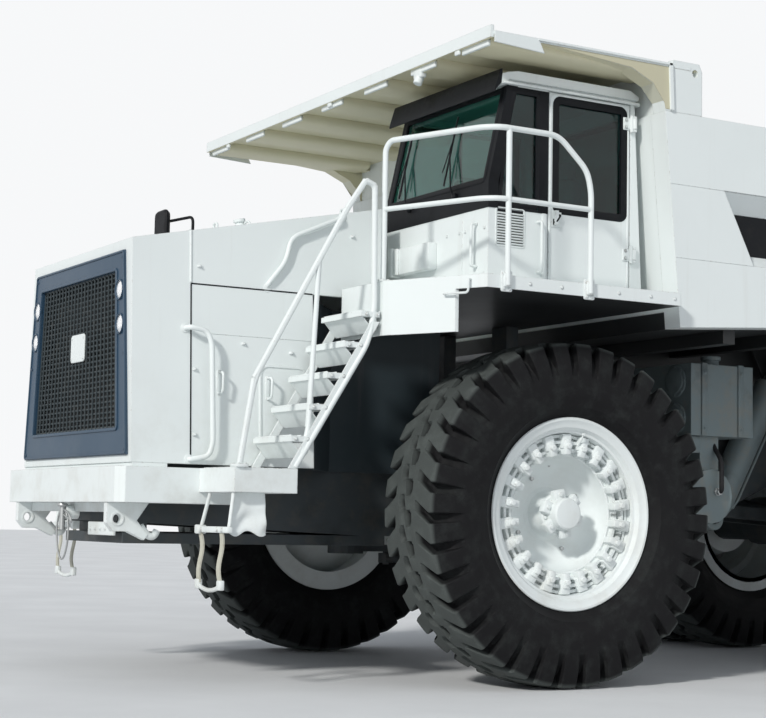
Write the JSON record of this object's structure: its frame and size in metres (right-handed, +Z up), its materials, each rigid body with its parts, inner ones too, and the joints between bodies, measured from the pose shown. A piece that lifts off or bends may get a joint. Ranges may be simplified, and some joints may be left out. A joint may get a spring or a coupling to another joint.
{
  "type": "rigid mining dump truck",
  "caption": "Rigid off-highway dump truck with left cab, sloped hood, canopied rock body, steered front wheels, twin rear wheels and side hoist cylinders.",
  "frame": {"origin": "on the ground under the middle of the truck's overall box", "axes": "+X to the truck's left (cab side), the front faces -Y, +Z up"},
  "size_m": [5.2902, 10.82, 4.827],
  "materials": {
    "white_paint": "satin white machine paint, dusty",
    "slate_paint": "satin dark slate paint",
    "chassis_paint": "grey chassis paint, dusty and oily",
    "tyre_rubber": "matt black rubber, dusty tread",
    "tinted_glass": "green tinted safety glass",
    "black_trim": "matt black trim",
    "bright_steel": "polished cylinder rod"
  },
  "bodies": {
    "chassis": {"frame": "chassis_paint", "front_bumper": "white_paint", "tow_hooks": "chassis_paint", "radiator_housing": "white_paint", "hood": "white_paint", "hood_side_panel_left": "white_paint", "hood_side_panel_right": "white_paint", "grille_panel": "slate_paint", "grille_mesh": "black_trim", "radiator": "black_trim", "engine_block": "chassis_paint", "transmission": "chassis_paint", "stairs_left": "white_paint", "stairs_right": "white_paint", "deck_left": "white_paint", "deck_right": "white_paint", "wheel_arch_panel_left": "chassis_paint", "wheel_arch_panel_right": "chassis_paint", "guard_rail_left": "white_paint", "guard_rail_right": "white_paint", "cab_shell": "white_paint", "windscreen": "tinted_glass", "quarter_glass": "tinted_glass", "right_side_glass": "tinted_glass", "rear_glass": "tinted_glass", "cab_roof": "white_paint", "driver_seat": "black_trim", "dashboard": "black_trim", "tank_left": "chassis_paint", "tank_right": "chassis_paint", "rear_axle": "chassis_paint"},
    "knuckle_left": {"knuckle_left": "chassis_paint"},
    "knuckle_right": {"knuckle_right": "chassis_paint"},
    "tie_rod": {"tie_rod": "chassis_paint"},
    "front_wheel_left": {"front_rim_left": "white_paint", "front_tyre_left": "tyre_rubber"},
    "front_wheel_right": {"front_rim_right": "white_paint", "front_tyre_right": "tyre_rubber"},
    "rear_wheels_left": {"rear_rim_left": "white_paint", "rear_tyre_inner_left": "tyre_rubber", "rear_tyre_outer_left": "tyre_rubber"},
    "rear_wheels_right": {"rear_rim_right": "white_paint", "rear_tyre_inner_right": "tyre_rubber", "rear_tyre_outer_right": "tyre_rubber"},
    "cab_door": {"cab_door": "white_paint", "door_glass": "tinted_glass"},
    "dump_body": {"body_floor": "white_paint", "body_side_left": "white_paint", "body_side_right": "white_paint", "body_front_wall": "white_paint", "canopy": "white_paint"},
    "hoist_barrel_left": {"hoist_barrel_left": "chassis_paint"},
    "hoist_barrel_right": {"hoist_barrel_right": "chassis_paint"},
    "hoist_sleeve_left": {"hoist_sleeve_left": "bright_steel"},
    "hoist_sleeve_right": {"hoist_sleeve_right": "bright_steel"},
    "hoist_rod_left": {"hoist_rod_left": "bright_steel"},
    "hoist_rod_right": {"hoist_rod_right": "bright_steel"}
  },
  "joints": [
    {"name": "steer_left", "type": "hinge", "parent": "chassis", "child": "knuckle_left", "pos_m": [1.3, -2.165, 1.3], "axis": [0, 0, 1], "range_deg": [-38, 38]},
    {"name": "steer_right", "type": "hinge", "parent": "chassis", "child": "knuckle_right", "pos_m": [-1.3, -2.165, 1.3], "axis": [0, 0, 1], "range_deg": [-38, 38]},
    {"name": "tie_rod_pivot", "type": "hinge", "parent": "knuckle_left", "child": "tie_rod", "pos_m": [1.3, -1.735, 0.88], "axis": [0, 0, 1], "range_deg": [-38, 38]},
    {"name": "front_wheel_left_spin", "type": "hinge", "parent": "knuckle_left", "child": "front_wheel_left", "pos_m": [1.905, -2.165, 1.3], "axis": [1, 0, 0], "continuous": true},
    {"name": "front_wheel_right_spin", "type": "hinge", "parent": "knuckle_right", "child": "front_wheel_right", "pos_m": [-1.905, -2.165, 1.3], "axis": [1, 0, 0], "continuous": true},
    {"name": "rear_wheels_left_spin", "type": "hinge", "parent": "chassis", "child": "rear_wheels_left", "pos_m": [1.645, 2.405, 1.3], "axis": [1, 0, 0], "continuous": true},
    {"name": "rear_wheels_right_spin", "type": "hinge", "parent": "chassis", "child": "rear_wheels_right", "pos_m": [-1.645, 2.405, 1.3], "axis": [1, 0, 0], "continuous": true},
    {"name": "cab_door_hinge", "type": "hinge", "parent": "chassis", "child": "cab_door", "pos_m": [2.191, -1.605, 3.8], "axis": [0, 0, 1], "range_deg": [0, 85]},
    {"name": "body_tip", "type": "hinge", "parent": "chassis", "child": "dump_body", "pos_m": [0, 3.435, 2.05], "axis": [-1, 0, 0], "range_deg": [0, 55]},
    {"name": "hoist_left_swing", "type": "hinge", "parent": "chassis", "child": "hoist_barrel_left", "pos_m": [0.79, 0.385, 1.3], "axis": [-1, 0, 0], "range_deg": [0, 7.96]},
    {"name": "hoist_right_swing", "type": "hinge", "parent": "chassis", "child": "hoist_barrel_right", "pos_m": [-0.79, 0.385, 1.3], "axis": [-1, 0, 0], "range_deg": [0, 7.96]},
    {"name": "hoist_left_first_stage", "type": "slide", "parent": "hoist_barrel_left", "child": "hoist_sleeve_left", "axis": [0, 0.4961, 0.8682], "range_m": [0, 1.068]},
    {"name": "hoist_right_first_stage", "type": "slide", "parent": "hoist_barrel_right", "child": "hoist_sleeve_right", "axis": [0, 0.4961, 0.8682], "range_m": [0, 1.068]},
    {"name": "hoist_left_second_stage", "type": "slide", "parent": "hoist_sleeve_left", "child": "hoist_rod_left", "axis": [0, 0.4961, 0.8682], "range_m": [0, 1.068]},
    {"name": "hoist_right_second_stage", "type": "slide", "parent": "hoist_sleeve_right", "child": "hoist_rod_right", "axis": [0, 0.4961, 0.8682], "range_m": [0, 1.068]}
  ],
  "couplings": [
    {"joint": "steer_right", "follows": "steer_left", "ratio": 1},
    {"joint": "tie_rod_pivot", "follows": "steer_left", "ratio": -1},
    {"joint": "hoist_left_swing", "follows": "body_tip", "ratio": 0.14453},
    {"joint": "hoist_right_swing", "follows": "body_tip", "ratio": 0.14453},
    {"joint": "hoist_left_first_stage", "follows": "body_tip", "m_per_rad": 1.1125},
    {"joint": "hoist_right_first_stage", "follows": "body_tip", "m_per_rad": 1.1125},
    {"joint": "hoist_left_second_stage", "follows": "body_tip", "m_per_rad": 1.1125},
    {"joint": "hoist_right_second_stage", "follows": "body_tip", "m_per_rad": 1.1125}
  ]
}
